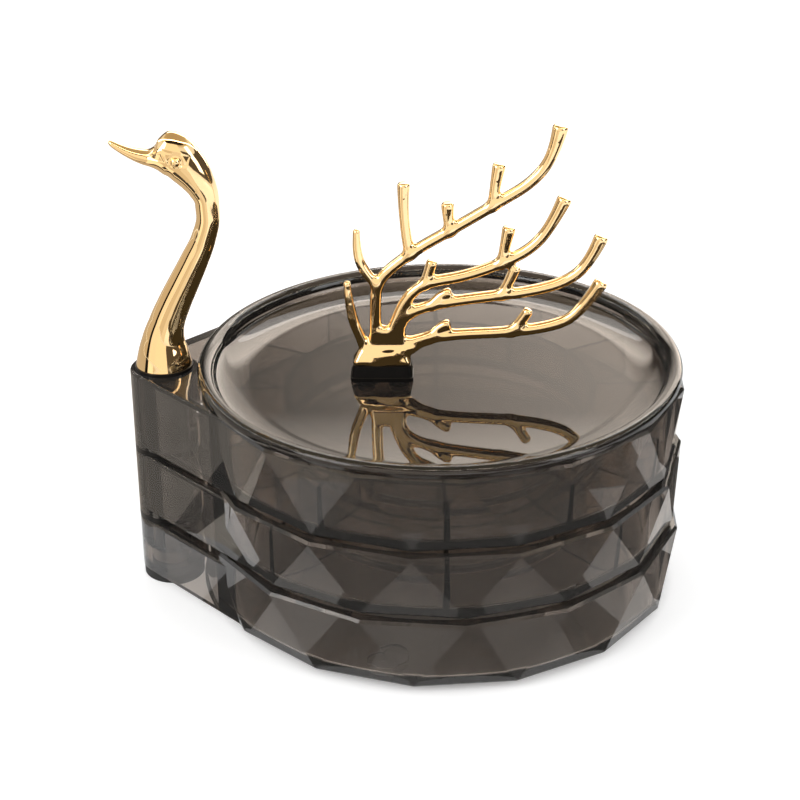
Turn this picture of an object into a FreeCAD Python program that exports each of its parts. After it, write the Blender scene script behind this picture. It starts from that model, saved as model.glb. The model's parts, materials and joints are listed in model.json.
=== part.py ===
import FreeCAD, Part
import math
import os
from FreeCAD import Vector

# Tiered box: three faceted trays that turn on one bolt beside them, under a lid dish with a branch rack.
# Millimetres. Each piece is drawn about the middle of the trays, with the bolt and the swan neck on -X,
# and is then moved so that the origin is on the table under the bolt.

# Tray shell: its widest corners, and how far inside them the other walls stand
FACETS = 15
WIDE_R = 75.0
NARROW_INSET = 1.7
WALL_T = 5.0
EDGE = 0.8
FLOOR = 2.2
FLOOR_CORNER_R = 2.0
MOUTH_CHAMFER = 0.5
BASE_H = 21.9
MIDDLE_H = 20.7
TOP_H = 24.0
SEAM = 1.4
TRAY_FOOT_H = 2.2

# Pivot and the lugs that hang on it; the wall beside the bolt is round, to let the hubs turn past it
LUG_R = 10.5
HUB_GAP = 0.4
LUG_FLANK = 46.0
ROUND_SECTOR = 26.0
ROUND_INSET = 1.3
LUG_PLATE = 2.4
LUG_WALL = 3.0
LUG_EDGE = 0.8
SPACER_H = 1.6
MIDDLE_LUG_STEP = 1.4
BASE_LUG_STEP = 2.6
BASE_LUG_LIFT = 1.1
BOLT_R = 3.0
BUSH_R = 5.0
RUNNING_FIT = 0.06
WASHER_R = 6.2
WASHER_H = 1.0
HEAD_R = 5.4
HEAD_H = 3.5
KEY_FLATS = 4.0
KEY_DEPTH = 2.0
HEAD_POCKET_R = 6.5
HEAD_POCKET_DEPTH = 7.2
LUG_FOOT_INSET = 0.3
FOOT_SPIGOT_H = 1.6
INSERT_R = 4.4
INSERT_H = 9.0
BOLT_END_GAP = 1.0

# Rings and ribs moulded inside the trays
RING_INSET = 22.0
RING_T = 2.0
TOP_RIBS = 12
MIDDLE_RIBS = 8
RIB_TOP_T = 1.4
RIB_FOOT_T = 2.0
TOP_RIB_DEPTH = 8.1
MIDDLE_RIB_DEPTH = 2.8
RIB_TURN = 1.7

# Clear feet under the lowest tray
TRAY_FOOT_R = 6.0
TRAY_FOOT_SEAT = 0.8
TRAY_FOOT_INSET = 12.0
TRAY_FOOT_ANGLES = {"right": 0.0, "back": 105.0, "front": -105.0}

# Lid dish
RIM_INSET = 1.0
RIM_W = 5.0
RIM_H = 3.3
RIM_WIDEST_H = 1.5
RIM_CREST_INSET = 2.0
RIM_UNDER_INSET = 0.7
DISH_DEPTH = 5.0
BOWL_W = 7.0
DISH_WALL = 2.0
PLUG_GAP = 0.5
PLUG_CHAMFER = 2.0
GATE_R = 1.6
GATE_DEPTH = 0.4

# Socket, screws and the branch rack
SOCKET_X = -17.6
SOCKET_L = 19.2
SOCKET_W = 9.2
SOCKET_H = 5.3
SOCKET_LIP_H = 1.3
SOCKET_TAPER = 1.7
CORNER_R = 2.0
PEG_R = 2.2
PEG_DEPTH = 4.0
PEG_PITCH = 10.0
SCREW_R = 1.1
SCREW_HEAD_R = 2.6
SCREW_HEAD_H = 1.8
SCREW_BITE = 3.0
SCREW_GAP = 0.15
SCREW_SLOT = 0.8
RACK_FOOT_L = 17.4
RACK_FOOT_W = 6.8
RACK_FOOT_H = 6.2
RACK_FOOT_TAPER = 2.2
TRUNK_T = 3.8
TRUNK_ROUND = 1.1
BRANCH_R = 1.5
PRONG_R = 1.4
TIP_ROUND = 1.2
LAST_SHARE = 0.3
ARC_SHARE = 0.45

# Swan neck
SEAT_INSET = 1.6
SEAT_H = 1.0
EYE_R = 1.6
EYE_ALONG = 7.6
EYE_UP = 67.8
EYE_OUT = 4.3

# Radii and places that follow from the sizes above
NARROW_R = WIDE_R - NARROW_INSET
WALL_INNER_R = WIDE_R - WALL_T
RING_R = WALL_INNER_R - RING_INSET
ROUND_R = WIDE_R - ROUND_INSET
PIVOT_X = -(ROUND_R + HUB_GAP + LUG_R)
LUG_FOOT_R = LUG_R - LUG_FOOT_INSET
SEAT_R = LUG_R - SEAT_INSET
TRAY_FOOT_CIRCLE_R = WALL_INNER_R - TRAY_FOOT_INSET
RIM_R = WIDE_R - RIM_INSET
RIM_INNER_R = RIM_R - RIM_W
DISH_FLAT_R = RIM_INNER_R - BOWL_W

# Heights that follow from the sizes above
BASE_Z = TRAY_FOOT_H
BASE_TOP = BASE_Z + BASE_H
MIDDLE_Z = BASE_TOP + SEAM
MIDDLE_TOP = MIDDLE_Z + MIDDLE_H
TOP_Z = MIDDLE_TOP + SEAM
TOP_TOP = TOP_Z + TOP_H
BASE_LUG_Z = BASE_Z + BASE_LUG_LIFT
BASE_LUG_TOP = BASE_TOP - BASE_LUG_STEP
MIDDLE_LUG_TOP = MIDDLE_TOP - MIDDLE_LUG_STEP
MIDDLE_PAD_Z = BASE_LUG_TOP + SPACER_H
TOP_PAD_Z = MIDDLE_LUG_TOP + SPACER_H
HEAD_SEAT_Z = BASE_LUG_Z + HEAD_POCKET_DEPTH
NECK_Z = TOP_TOP + SEAT_H
DISH_FLOOR_Z = TOP_TOP - DISH_DEPTH
DISH_UNDER_Z = DISH_FLOOR_Z - DISH_WALL
SOCKET_TOP = DISH_FLOOR_Z + SOCKET_H
FACET_ANGLE = 360.0 / FACETS
REACH = 2.0 * WIDE_R


def polar(radius, degrees, z=0.0):
    angle = math.radians(degrees)
    return Vector(radius * math.cos(angle), radius * math.sin(angle), z)


def face_of(points):
    return Part.Face(Part.makePolygon(points + [points[0]]))


def disc(radius, z0, z1, x=0.0, y=0.0):
    return Part.makeCylinder(radius, z1 - z0, Vector(x, y, z0))


def oval(centre, lean, half_depth, half_width):
    """Oval ring across the XZ plane: its depth lies along lean, in that plane, and its width along Y."""
    place = FreeCAD.Matrix(
        half_depth * lean.x, 0, -lean.z, centre.x,
        0, half_width, 0, centre.y,
        half_depth * lean.z, 0, lean.x, centre.z,
        0, 0, 0, 1,
    )
    ring = Part.Circle(Vector(0, 0, 0), Vector(0, 0, 1), 1).toShape()
    return Part.Wire([ring.transformGeometry(place)])


def revolved(profile):
    """Solid of revolution about Z. A corner is (r, z), or four numbers for an arc by way of a point."""
    edges = []
    start = Vector(profile[0][0], 0, profile[0][1])
    for corner in profile[1:] + profile[:1]:
        end = Vector(corner[-2], 0, corner[-1])
        if len(corner) == 4:
            middle = Vector(corner[0], 0, corner[1])
            edges.append(Part.Arc(start, middle, end).toShape())
        else:
            edges.append(Part.LineSegment(start, end).toShape())
        start = end
    return Part.Face(Part.Wire(edges)).revolve(Vector(0, 0, 0), Vector(0, 0, 1), 360)


def rounded(start, corner, end):
    """Profile entry for the arc that rounds a square corner between two points."""
    share = math.sqrt(0.5)
    centre = [start[i] + end[i] - corner[i] for i in (0, 1)]
    middle = [centre[i] + share * (start[i] + end[i] - 2 * centre[i]) for i in (0, 1)]
    return (middle[0], middle[1], end[0], end[1])


def corner_points(radius, z, turn):
    return [polar(radius, 180 + turn + i * FACET_ANGLE, z) for i in range(FACETS)]


def band(lower, upper):
    """Flat quadrilaterals between two rings of corners that stand one above the other."""
    faces = []
    for i in range(FACETS):
        j = (i + 1) % FACETS
        faces.append(face_of([lower[i], lower[j], upper[j], upper[i]]))
    return faces


def faceted_block(z0, z1, low_turn):
    """Block whose side is a zigzag of triangles, because its two ends are turned by half a facet."""
    high_turn = FACET_ANGLE / 2 - low_turn
    foot = corner_points(NARROW_R - EDGE, z0, low_turn)
    low = corner_points(NARROW_R, z0 + EDGE, low_turn)
    high = corner_points(WIDE_R, z1 - EDGE, high_turn)
    brow = corner_points(WIDE_R - EDGE, z1, high_turn)
    faces = [face_of(foot), face_of(brow)] + band(foot, low) + band(high, brow)
    shift = 0 if low_turn else 1
    for i in range(FACETS):
        here = high[(i + 1 - shift) % FACETS]
        before = high[(i - shift) % FACETS]
        faces.append(face_of([low[i], before, here]))
        faces.append(face_of([low[i], here, low[(i + 1) % FACETS]]))
    return Part.makeSolid(Part.makeShell(faces))


def sector(half_angle, z0, z1):
    """Wedge about the -X axis, wide enough to take in the lug."""
    corners = [Vector(0, 0, z0), polar(REACH, 180 - half_angle, z0), polar(REACH, 180 + half_angle, z0)]
    return face_of(corners).extrude(Vector(0, 0, z1 - z0))


def round_block(radius, z0, z1):
    return revolved([(0, z0), (radius - EDGE, z0), (radius, z0 + EDGE), (radius, z1 - EDGE),
                     (radius - EDGE, z1), (0, z1)])


def lug_outline(inset, z0, z1):
    """Prism with a round end about the pivot, and flanks straight to where they come nearest the middle."""
    radius = LUG_R - inset
    upper = polar(radius, 90 + LUG_FLANK, z0) + Vector(PIVOT_X, 0, 0)
    lower = polar(radius, -90 - LUG_FLANK, z0) + Vector(PIVOT_X, 0, 0)
    end = Vector(PIVOT_X - radius, 0, z0)
    nearest = radius - PIVOT_X * math.sin(math.radians(LUG_FLANK))
    root_upper = polar(nearest, 90 + LUG_FLANK, z0)
    root_lower = polar(nearest, -90 - LUG_FLANK, z0)
    edges = [
        Part.LineSegment(root_upper, upper).toShape(),
        Part.Arc(upper, end, lower).toShape(),
        Part.LineSegment(lower, root_lower).toShape(),
        Part.LineSegment(root_lower, root_upper).toShape(),
    ]
    return Part.Face(Part.Wire(edges)).extrude(Vector(0, 0, z1 - z0))


def softened(prism, z, radius):
    """Round the outer edges of a lug at one height, leaving its root edge alone."""
    edges = [edge for edge in prism.Edges
             if abs(edge.BoundBox.ZMin - z) < EDGE / 10 and abs(edge.BoundBox.ZMax - z) < EDGE / 10
             and edge.BoundBox.XMin < PIVOT_X + LUG_R]
    return prism.makeFillet(radius, edges)


def add_lug(shell, z0, z1, pad_z):
    """Lug hollow from below: top plate, flank walls, and a boss that reaches down to the pad."""
    outer = softened(lug_outline(0, z0, z1), z1, LUG_EDGE)
    hollow = lug_outline(LUG_WALL, z0, z1 - LUG_PLATE).cut(disc(WALL_INNER_R + LUG_WALL, z0, z1))
    boss = disc(LUG_R, pad_z, z1 - LUG_PLATE / 2, PIVOT_X).common(lug_outline(0, pad_z, z1))
    return shell.fuse(outer).cut(hollow).fuse(boss)


def tray_shell(z0, height, low_turn, lug_z, lug_top, pad_z):
    """Faceted shell with a round wall inside the reach of its lug; the inside is cut later."""
    z1 = z0 + height
    wedge = sector(ROUND_SECTOR, z0 - SEAM, z1 + SEAM)
    shell = faceted_block(z0, z1, low_turn).cut(wedge)
    shell = shell.fuse(round_block(ROUND_R, z0, z1).common(wedge))
    return add_lug(shell, lug_z, lug_top, pad_z)


def hollow_from_above(z0, z1, ring_top=None):
    """Round room above the floor, in two parts where a ring wall stands between them."""
    floor = z0 + FLOOR
    turn = FLOOR_CORNER_R
    well_r = RING_R - RING_T
    centre = [(0, floor)]
    if ring_top is not None:
        centre += [
            (well_r - turn, floor),
            rounded((well_r - turn, floor), (well_r, floor), (well_r, floor + turn)),
            (well_r, ring_top),
            (RING_R, ring_top),
            (RING_R, floor + turn),
            rounded((RING_R, floor + turn), (RING_R, floor), (RING_R + turn, floor)),
        ]
    outside = [
        (WALL_INNER_R - turn, floor),
        rounded((WALL_INNER_R - turn, floor), (WALL_INNER_R, floor), (WALL_INNER_R, floor + turn)),
        (WALL_INNER_R, z1 - MOUTH_CHAMFER),
        (WALL_INNER_R + MOUTH_CHAMFER, z1),
        (0, z1),
    ]
    return revolved(centre + outside)


def ribs(count, floor, top):
    """Radial ribs from the ring wall to the tray wall, thicker at the floor so that they leave the mould."""
    near = RING_R - RING_T / 2
    far = (WALL_INNER_R + ROUND_R) / 2 - EDGE
    foot = floor - FLOOR / 2
    section = face_of([
        Vector(near, -RIB_FOOT_T / 2, foot),
        Vector(near, RIB_FOOT_T / 2, foot),
        Vector(near, RIB_TOP_T / 2, top),
        Vector(near, -RIB_TOP_T / 2, top),
    ])
    rib = section.extrude(Vector(far - near, 0, 0))
    made = []
    for i in range(count):
        copy = rib.copy()
        copy.rotate(Vector(0, 0, 0), Vector(0, 0, 1), 180 + RIB_TURN + i * 360.0 / count)
        made.append(copy)
    return made


def bored(solid, radius):
    return solid.cut(disc(radius, -REACH, REACH, PIVOT_X))


def bottom_tray():
    solid = tray_shell(BASE_Z, BASE_H, FACET_ANGLE / 2, BASE_LUG_Z, BASE_LUG_TOP, BASE_LUG_Z)
    solid = solid.cut(hollow_from_above(BASE_Z, BASE_TOP))
    solid = solid.cut(disc(HEAD_POCKET_R, BASE_LUG_Z, HEAD_SEAT_Z, PIVOT_X))
    for angle in TRAY_FOOT_ANGLES.values():
        centre = polar(TRAY_FOOT_CIRCLE_R, angle)
        solid = solid.cut(disc(TRAY_FOOT_R, BASE_Z, BASE_Z + TRAY_FOOT_SEAT, centre.x, centre.y))
    return bored(solid, BOLT_R + RUNNING_FIT)


def middle_tray():
    ring_top = MIDDLE_TOP - MIDDLE_RIB_DEPTH
    solid = tray_shell(MIDDLE_Z, MIDDLE_H, 0.0, MIDDLE_Z, MIDDLE_LUG_TOP, MIDDLE_PAD_Z)
    solid = solid.cut(hollow_from_above(MIDDLE_Z, MIDDLE_TOP, ring_top))
    solid = solid.multiFuse(ribs(MIDDLE_RIBS, MIDDLE_Z + FLOOR, ring_top))
    return bored(solid, BUSH_R)


def top_tray():
    ring_top = TOP_TOP - TOP_RIB_DEPTH
    solid = tray_shell(TOP_Z, TOP_H, FACET_ANGLE / 2, TOP_Z, TOP_TOP, TOP_PAD_Z)
    solid = solid.cut(hollow_from_above(TOP_Z, TOP_TOP, ring_top))
    solid = solid.multiFuse(ribs(TOP_RIBS, TOP_Z + FLOOR, ring_top))
    return bored(solid, BUSH_R)


def sleeve(outer_r, z0, z1):
    return bored(disc(outer_r, z0, z1, PIVOT_X), BOLT_R + RUNNING_FIT)


def tray_foot(angle):
    centre = polar(TRAY_FOOT_CIRCLE_R, angle)
    return disc(TRAY_FOOT_R, 0, BASE_Z + TRAY_FOOT_SEAT, centre.x, centre.y)


def lug_foot():
    spigot = disc(HEAD_POCKET_R, 0, BASE_LUG_Z + FOOT_SPIGOT_H, PIVOT_X)
    return disc(LUG_FOOT_R, 0, BASE_LUG_Z, PIVOT_X).fuse(spigot).removeSplitter()


def pivot_bolt():
    """Cap screw: head in the lowest lug, shank up through every lug into the neck's insert."""
    head_top = HEAD_SEAT_Z - WASHER_H
    head_z = head_top - HEAD_H
    head = disc(HEAD_R, head_z, head_top, PIVOT_X)
    shank = disc(BOLT_R, head_z, NECK_Z + INSERT_H - BOLT_END_GAP, PIVOT_X)
    corners = [polar(KEY_FLATS / math.sqrt(3), 60 * i, head_z) + Vector(PIVOT_X, 0, 0) for i in range(6)]
    key = face_of(corners).extrude(Vector(0, 0, KEY_DEPTH))
    return head.fuse(shank).removeSplitter().cut(key)


# Neck sections, from the pivot and the top of the seat ring: along, up, tilt, half depth, half width
NECK_SECTIONS = [
    (0.0, 0.0, 0, 8.6, 8.6), (0.0, 4.5, 0, 7.6, 7.6), (0.4, 8.8, -8, 6.4, 6.3), (1.8, 14.1, -19, 5.4, 5.4),
    (4.4, 20.3, -25, 5.0, 5.0), (7.9, 27.5, -26, 4.6, 4.6), (11.3, 34.5, -24, 4.2, 4.2),
    (14.2, 41.1, -17, 3.75, 3.75), (15.9, 48.2, -4, 3.55, 3.6), (15.8, 53.3, 19, 3.8, 3.8),
    (14.3, 58.4, 45, 4.9, 4.4), (11.8, 62.7, 62, 6.2, 4.9), (8.1, 66.6, 76, 7.3, 5.1),
    (4.7, 68.0, 84, 6.7, 4.7), (2.3, 67.7, 86, 4.9, 4.1), (0.7, 67.0, 82, 3.3, 3.4),
    (-1.1, 66.8, 77, 2.5, 2.8), (-3.4, 67.3, 71, 2.1, 2.5), (-6.6, 68.5, 66, 1.6, 2.1),
    (-9.4, 69.9, 62, 1.2, 1.6), (-11.4, 71.1, 62, 0.85, 1.1), (-12.2, 71.6, 62, 0.4, 0.5),
]
NECK_STEPS = 2


def steady_slopes(at, values):
    """Slope at each section, zero where the values turn back, so that the curve can't overshoot."""
    runs = [(after - here) / (end - start) for here, after, start, end in zip(values, values[1:], at, at[1:])]
    slopes = [runs[0]]
    for before, after in zip(runs, runs[1:]):
        slopes.append(2 * before * after / (before + after) if before * after > 0 else 0.0)
    return slopes + [runs[-1]]


def blended_rows(rows, steps):
    """Rows on a smooth curve through the given ones, with the same number of steps between each pair."""
    at = [0.0]
    for here, after in zip(rows, rows[1:]):
        at.append(at[-1] + math.hypot(after[0] - here[0], after[1] - here[1]))
    slopes = [steady_slopes(at, column) for column in zip(*rows)]
    made = [rows[0]]
    for i in range(len(rows) - 1):
        width = at[i + 1] - at[i]
        for step in range(1, steps + 1):
            t = step / steps
            made.append([
                (1 + 2 * t) * (1 - t) ** 2 * rows[i][k] + t * (1 - t) ** 2 * width * slope[i]
                + t * t * (3 - 2 * t) * rows[i + 1][k] + t * t * (t - 1) * width * slope[i + 1]
                for k, slope in enumerate(slopes)
            ])
    return made


def neck_section(along, up, tilt, half_depth, half_width):
    lean = Vector(math.cos(math.radians(tilt)), 0, math.sin(math.radians(tilt)))
    return oval(Vector(PIVOT_X + along, 0, NECK_Z + up), lean, half_depth, half_width)


def eye_ball(side):
    return Part.makeSphere(EYE_R, Vector(PIVOT_X + EYE_ALONG, side * EYE_OUT, TOP_TOP + EYE_UP))


def swan_neck():
    rings = [neck_section(*row) for row in blended_rows(NECK_SECTIONS, NECK_STEPS)]
    solid = Part.makeLoft(rings, True, False)
    for side in (-1, 1):
        solid = solid.cut(eye_ball(side))
    return solid.cut(disc(INSERT_R, NECK_Z, NECK_Z + INSERT_H, PIVOT_X))


def screw_places():
    return {"left": SOCKET_X - PEG_PITCH / 2, "right": SOCKET_X + PEG_PITCH / 2}


def lid_dish():
    """Shallow dish with a rolled rim that rests on the tray, and a plug that drops inside it."""
    plug_r = WALL_INNER_R - PLUG_GAP
    under_r = RIM_R - RIM_UNDER_INSET
    crest_r = RIM_R - RIM_CREST_INSET
    crest_z = TOP_TOP + RIM_H
    widest_z = TOP_TOP + RIM_WIDEST_H
    shoulder_z = crest_z - (crest_r - RIM_INNER_R)
    solid = revolved([
        (0, DISH_UNDER_Z),
        (plug_r - PLUG_CHAMFER, DISH_UNDER_Z),
        (plug_r, DISH_UNDER_Z + PLUG_CHAMFER),
        (plug_r, TOP_TOP),
        (under_r, TOP_TOP),
        rounded((under_r, TOP_TOP), (RIM_R, TOP_TOP), (RIM_R, widest_z)),
        rounded((RIM_R, widest_z), (RIM_R, crest_z), (crest_r, crest_z)),
        rounded((crest_r, crest_z), (RIM_INNER_R, crest_z), (RIM_INNER_R, shoulder_z)),
        rounded((RIM_INNER_R, shoulder_z), (RIM_INNER_R, DISH_FLOOR_Z), (DISH_FLAT_R, DISH_FLOOR_Z)),
        (0, DISH_FLOOR_Z),
    ])
    for x in screw_places().values():
        solid = solid.cut(disc(SCREW_R + SCREW_GAP, DISH_UNDER_Z, DISH_FLOOR_Z, x))
    return solid.cut(disc(GATE_R, DISH_FLOOR_Z - GATE_DEPTH, DISH_FLOOR_Z))


def round_cornered(length, width, z):
    """Oblong ring with round corners about the middle of the socket."""
    x = length / 2 - CORNER_R
    y = width / 2 - CORNER_R
    corners = [(x, y, 0), (-x, y, 90), (-x, -y, 180), (x, -y, 270)]
    edges = []
    start = None
    for cx, cy, turn in corners + corners[:1]:
        centre = Vector(SOCKET_X + cx, cy, 0)
        begin, middle, end = [centre + polar(CORNER_R, turn + part, z) for part in (0, 45, 90)]
        if start is not None:
            edges.append(Part.LineSegment(start, begin).toShape())
        if len(edges) < 2 * len(corners):
            edges.append(Part.Arc(begin, middle, end).toShape())
        start = end
    return Part.Wire(edges)


def tapered_block(length, width, taper, z0, z1):
    ends = [round_cornered(length, width, z0), round_cornered(length - taper, width - taper, z1)]
    return Part.makeLoft(ends, True, True)


def rack_socket():
    """Oblong foot on the dish floor: a straight lip, sides that lean in, and holes for the rack's pegs."""
    lip = tapered_block(SOCKET_L, SOCKET_W, 0.0, DISH_FLOOR_Z, DISH_FLOOR_Z + SOCKET_LIP_H)
    upper = tapered_block(SOCKET_L, SOCKET_W, SOCKET_TAPER, DISH_FLOOR_Z + SOCKET_LIP_H, SOCKET_TOP)
    block = lip.fuse(upper).removeSplitter()
    for x in screw_places().values():
        block = block.cut(disc(PEG_R, SOCKET_TOP - PEG_DEPTH, SOCKET_TOP, x))
        block = block.cut(disc(SCREW_R + SCREW_GAP, DISH_FLOOR_Z, SOCKET_TOP, x))
    return block


def rack_screw(x):
    tip_z = SOCKET_TOP - PEG_DEPTH + SCREW_BITE
    head = disc(SCREW_HEAD_R, DISH_UNDER_Z - SCREW_HEAD_H, DISH_UNDER_Z, x)
    shank = disc(SCREW_R, DISH_UNDER_Z - SCREW_HEAD_H, tip_z, x)
    slot = Part.makeBox(SCREW_HEAD_R * 2, SCREW_SLOT, SCREW_SLOT,
                        Vector(x - SCREW_HEAD_R, -SCREW_SLOT / 2, DISH_UNDER_Z - SCREW_HEAD_H))
    return head.fuse(shank).removeSplitter().cut(slot)


# Rack outline, along and up from the middle of the socket's top face
TRUNK = [(-8.0, 1.5), (7.9, 1.5), (9.4, 5.4), (7.0, 9.4), (6.8, 12.6), (3.4, 13.6), (-0.2, 13.8), (-3.2, 9.0),
         (-7.0, 8.8)]
# Each bar: its corners, along and up, and the radius of its tip
BRANCHES = [
    ([(-1.8, 3.0), (-2.0, 20.0), (-1.0, 28.6), (9.6, 37.4), (21.4, 44.4), (34.9, 52.8), (46.6, 60.4),
      (53.0, 75.9)], 2.3),
    ([(1.0, 5.0), (4.6, 16.4), (9.0, 24.2), (14.5, 27.6), (25.0, 29.2), (37.2, 33.8), (47.0, 39.6),
      (54.5, 53.6)], 2.15),
    ([(3.0, 5.0), (5.0, 13.6), (9.4, 18.0), (17.0, 20.4), (30.0, 22.4), (43.5, 24.0), (57.6, 27.8),
      (65.7, 41.4)], 2.1),
    ([(0.0, 3.6), (5.0, 6.8), (13.0, 8.8), (22.3, 10.2), (37.5, 10.8), (51.0, 12.6), (60.4, 16.8),
      (66.0, 26.8)], 2.1),
]
PRONGS = [
    ([(-3.8, 4.0), (-6.0, 8.6), (-9.4, 16.6), (-10.1, 25.6)], PRONG_R),
    ([(-1.4, 26.6), (-4.8, 30.6), (-7.2, 36.6), (-7.1, 42.4)], PRONG_R),
    ([(8.8, 36.5), (6.7, 46.4), (7.1, 58.5)], 2.0),
    ([(20.9, 43.6), (20.2, 47.0), (20.1, 52.2)], 2.0),
    ([(33.4, 51.8), (33.8, 56.6), (35.2, 64.3)], 2.1),
    ([(13.0, 26.6), (14.1, 29.6), (15.4, 33.8)], 1.8),
    ([(36.2, 33.3), (37.0, 38.0), (38.3, 44.4)], 2.1),
    ([(15.4, 19.8), (17.5, 22.6), (20.4, 22.9)], 1.6),
    ([(36.2, 23.2), (38.2, 26.6), (40.4, 31.9)], 1.8),
    ([(14.8, 9.0), (17.2, 12.0), (20.2, 12.6)], 1.6),
    ([(39.2, 10.9), (41.8, 13.6), (44.4, 17.8)], 1.7),
]


def at_rack(along, up):
    return Vector(SOCKET_X + along, 0, SOCKET_TOP + up)


def strand(points, run_r, tip_r):
    """Round bar of straight runs joined by arcs, whose last stretch swells to a rounded end."""
    corners = [at_rack(*point) for point in points]
    edges = []
    start = corners[0]
    for before, here, after in zip(corners, corners[1:], corners[2:]):
        share = LAST_SHARE if after is corners[-1] else ARC_SHARE
        setback = min(share * here.distanceToPoint(after), ARC_SHARE * here.distanceToPoint(before))
        back = (before - here).normalize()
        ahead = (after - here).normalize()
        half = back.getAngle(ahead) / 2
        to_middle = setback / math.cos(half) - setback * math.tan(half)
        middle = here + (back + ahead).normalize() * to_middle
        edges.append(Part.LineSegment(start, here + back * setback).toShape())
        edges.append(Part.Arc(here + back * setback, middle, here + ahead * setback).toShape())
        start = here + ahead * setback
    end = corners[-1]
    run = (end - start).normalize()
    first = (corners[1] - corners[0]).normalize()
    ring = Part.Wire([Part.Circle(corners[0], first, run_r).toShape()])
    bar = Part.Wire(edges).makePipe(Part.Face(ring))
    side = Vector(0, 1, 0)
    nose = end + run * TIP_ROUND
    flat = tip_r - TIP_ROUND
    shoulder = end + side * flat + (side + run).normalize() * TIP_ROUND
    tip = Part.Wire([
        Part.LineSegment(start, start + side * run_r).toShape(),
        Part.LineSegment(start + side * run_r, end + side * tip_r).toShape(),
        Part.Arc(end + side * tip_r, shoulder, nose + side * flat).toShape(),
        Part.LineSegment(nose + side * flat, nose).toShape(),
        Part.LineSegment(nose, start).toShape(),
    ])
    return [bar, Part.Face(tip).revolve(start, run, 360)]


def branch_rack():
    """Casting in one plane: a foot on two pegs, a trunk plate, branches, and prongs that stand on them."""
    half = Vector(0, TRUNK_T / 2, 0)
    plate = face_of([at_rack(*point) - half for point in TRUNK]).extrude(half * 2)
    rims = [edge for edge in plate.Edges if edge.BoundBox.YLength < TRUNK_T / 2]
    plate = plate.makeFillet(TRUNK_ROUND, rims)
    foot = tapered_block(RACK_FOOT_L, RACK_FOOT_W, RACK_FOOT_TAPER, SOCKET_TOP, SOCKET_TOP + RACK_FOOT_H)
    bars = []
    for points, tip_r in BRANCHES:
        bars += strand(points, BRANCH_R, tip_r)
    for points, tip_r in PRONGS:
        bars += strand(points, PRONG_R, tip_r)
    peg_z = SOCKET_TOP - PEG_DEPTH
    pegs = [disc(PEG_R, peg_z, SOCKET_TOP + RACK_FOOT_H / 2, x) for x in screw_places().values()]
    solid = foot.multiFuse([plate] + bars + pegs)
    for x in screw_places().values():
        solid = solid.cut(disc(SCREW_R, peg_z, peg_z + SCREW_BITE, x))
    return solid


def all_parts():
    made = {
        "bottom_tray": bottom_tray(),
        "middle_tray": middle_tray(),
        "top_tray": top_tray(),
        "lug_foot": lug_foot(),
        "pivot_bolt": pivot_bolt(),
        "bolt_washer": sleeve(WASHER_R, HEAD_SEAT_Z - WASHER_H, HEAD_SEAT_Z),
        "lower_spacer": sleeve(LUG_R, BASE_LUG_TOP, MIDDLE_PAD_Z),
        "middle_bush": sleeve(BUSH_R, MIDDLE_PAD_Z, MIDDLE_LUG_TOP),
        "upper_spacer": sleeve(LUG_R, MIDDLE_LUG_TOP, TOP_PAD_Z),
        "top_bush": sleeve(BUSH_R, TOP_PAD_Z, TOP_TOP),
        "neck_seat": sleeve(SEAT_R, TOP_TOP, NECK_Z),
        "neck_insert": disc(INSERT_R, NECK_Z, NECK_Z + INSERT_H, PIVOT_X).cut(pivot_bolt()),
        "swan_neck": swan_neck(),
        "swan_eye_front": eye_ball(-1),
        "swan_eye_back": eye_ball(1),
        "lid_dish": lid_dish(),
        "rack_socket": rack_socket(),
        "branch_rack": branch_rack(),
    }
    for side, angle in TRAY_FOOT_ANGLES.items():
        made["tray_foot_" + side] = tray_foot(angle)
    for side, x in screw_places().items():
        made["rack_screw_" + side] = rack_screw(x)
    return made


os.makedirs("parts", exist_ok=True)
for node, shape in all_parts().items():
    shape.translate(Vector(-PIVOT_X, 0, 0))
    shape.exportStep("parts/" + node + ".step")
    state = "valid" if shape.isValid() else "NOT VALID"
    print(node, len(shape.Solids), "solid", round(shape.Volume), "mm3", state)
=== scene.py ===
# %% [markdown]
# # A tiered jewelry box, dressed for a studio picture
# Three smoky trays turn on one bolt, under a dish with a gold branch rack and a gold swan neck.
# The solids come packed from the construction step and never move. This notebook gives them their finish.
# It builds the dish, its socket, the rack and the neck again as finer meshes, and sets up camera and light.

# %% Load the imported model
import json
import math

import bpy
import numpy as np
from mathutils import Matrix, Vector


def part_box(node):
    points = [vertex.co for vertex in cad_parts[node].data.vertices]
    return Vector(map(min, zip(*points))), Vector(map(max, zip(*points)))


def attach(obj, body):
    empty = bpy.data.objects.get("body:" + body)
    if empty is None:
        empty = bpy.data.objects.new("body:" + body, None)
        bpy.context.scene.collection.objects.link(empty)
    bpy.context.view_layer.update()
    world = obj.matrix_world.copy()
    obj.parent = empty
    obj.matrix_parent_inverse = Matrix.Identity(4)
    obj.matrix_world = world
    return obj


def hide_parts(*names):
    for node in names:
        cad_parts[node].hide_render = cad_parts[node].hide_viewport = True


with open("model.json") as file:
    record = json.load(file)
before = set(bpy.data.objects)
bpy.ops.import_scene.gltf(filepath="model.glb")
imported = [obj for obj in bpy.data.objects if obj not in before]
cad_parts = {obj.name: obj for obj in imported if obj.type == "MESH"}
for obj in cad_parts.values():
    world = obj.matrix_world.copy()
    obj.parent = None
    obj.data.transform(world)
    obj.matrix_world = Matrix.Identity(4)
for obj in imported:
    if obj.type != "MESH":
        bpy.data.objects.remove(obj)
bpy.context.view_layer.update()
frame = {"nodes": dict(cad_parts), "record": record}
nodes = frame["nodes"]
scene = bpy.context.scene
MM = 0.001

# %% [markdown]
# ## Landmarks
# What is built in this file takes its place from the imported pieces: the middle of the trays, the seat of the
# neck, and the land, which is the plane on which the dish rests. The bolt stands at the origin, on the table.

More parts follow.
